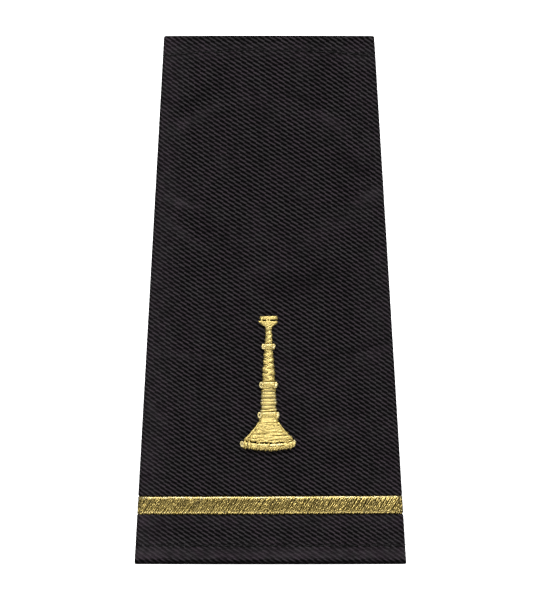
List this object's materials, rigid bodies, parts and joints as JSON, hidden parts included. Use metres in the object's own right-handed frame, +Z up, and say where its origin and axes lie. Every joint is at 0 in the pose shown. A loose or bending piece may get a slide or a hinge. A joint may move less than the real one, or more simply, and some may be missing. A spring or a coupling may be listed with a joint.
{
  "type": "slip-on shoulder board",
  "caption": "Flat tapered sleeve of black twill, open at both ends, that slides over a uniform's shoulder strap, with a gold embroidered stripe and a speaking trumpet on its front.",
  "frame": {"origin": "middle of the underside, where the back lies on the surface", "axes": "+Y along the length towards the narrow mouth, +Z up out of the embroidered front, +X to the right seen from the front"},
  "size_m": [0.054, 0.105, 0.0086],
  "materials": {
    "twill_cloth": "black twill with a diagonal rib, matt with a faint sheen on the ribs",
    "gold_thread": "gold embroidery thread, satin stitched, with a soft metallic shine"
  },
  "bodies": {
    "root": {"sleeve": "twill_cloth", "stripe": "gold_thread", "mouthpiece": "gold_thread", "neck": "gold_thread", "upper_ring": "gold_thread", "upper_tube": "gold_thread", "middle_ring": "gold_thread", "lower_tube": "gold_thread", "lower_ring": "gold_thread", "bell": "gold_thread", "bell_lip": "gold_thread"}
  },
  "joints": []
}
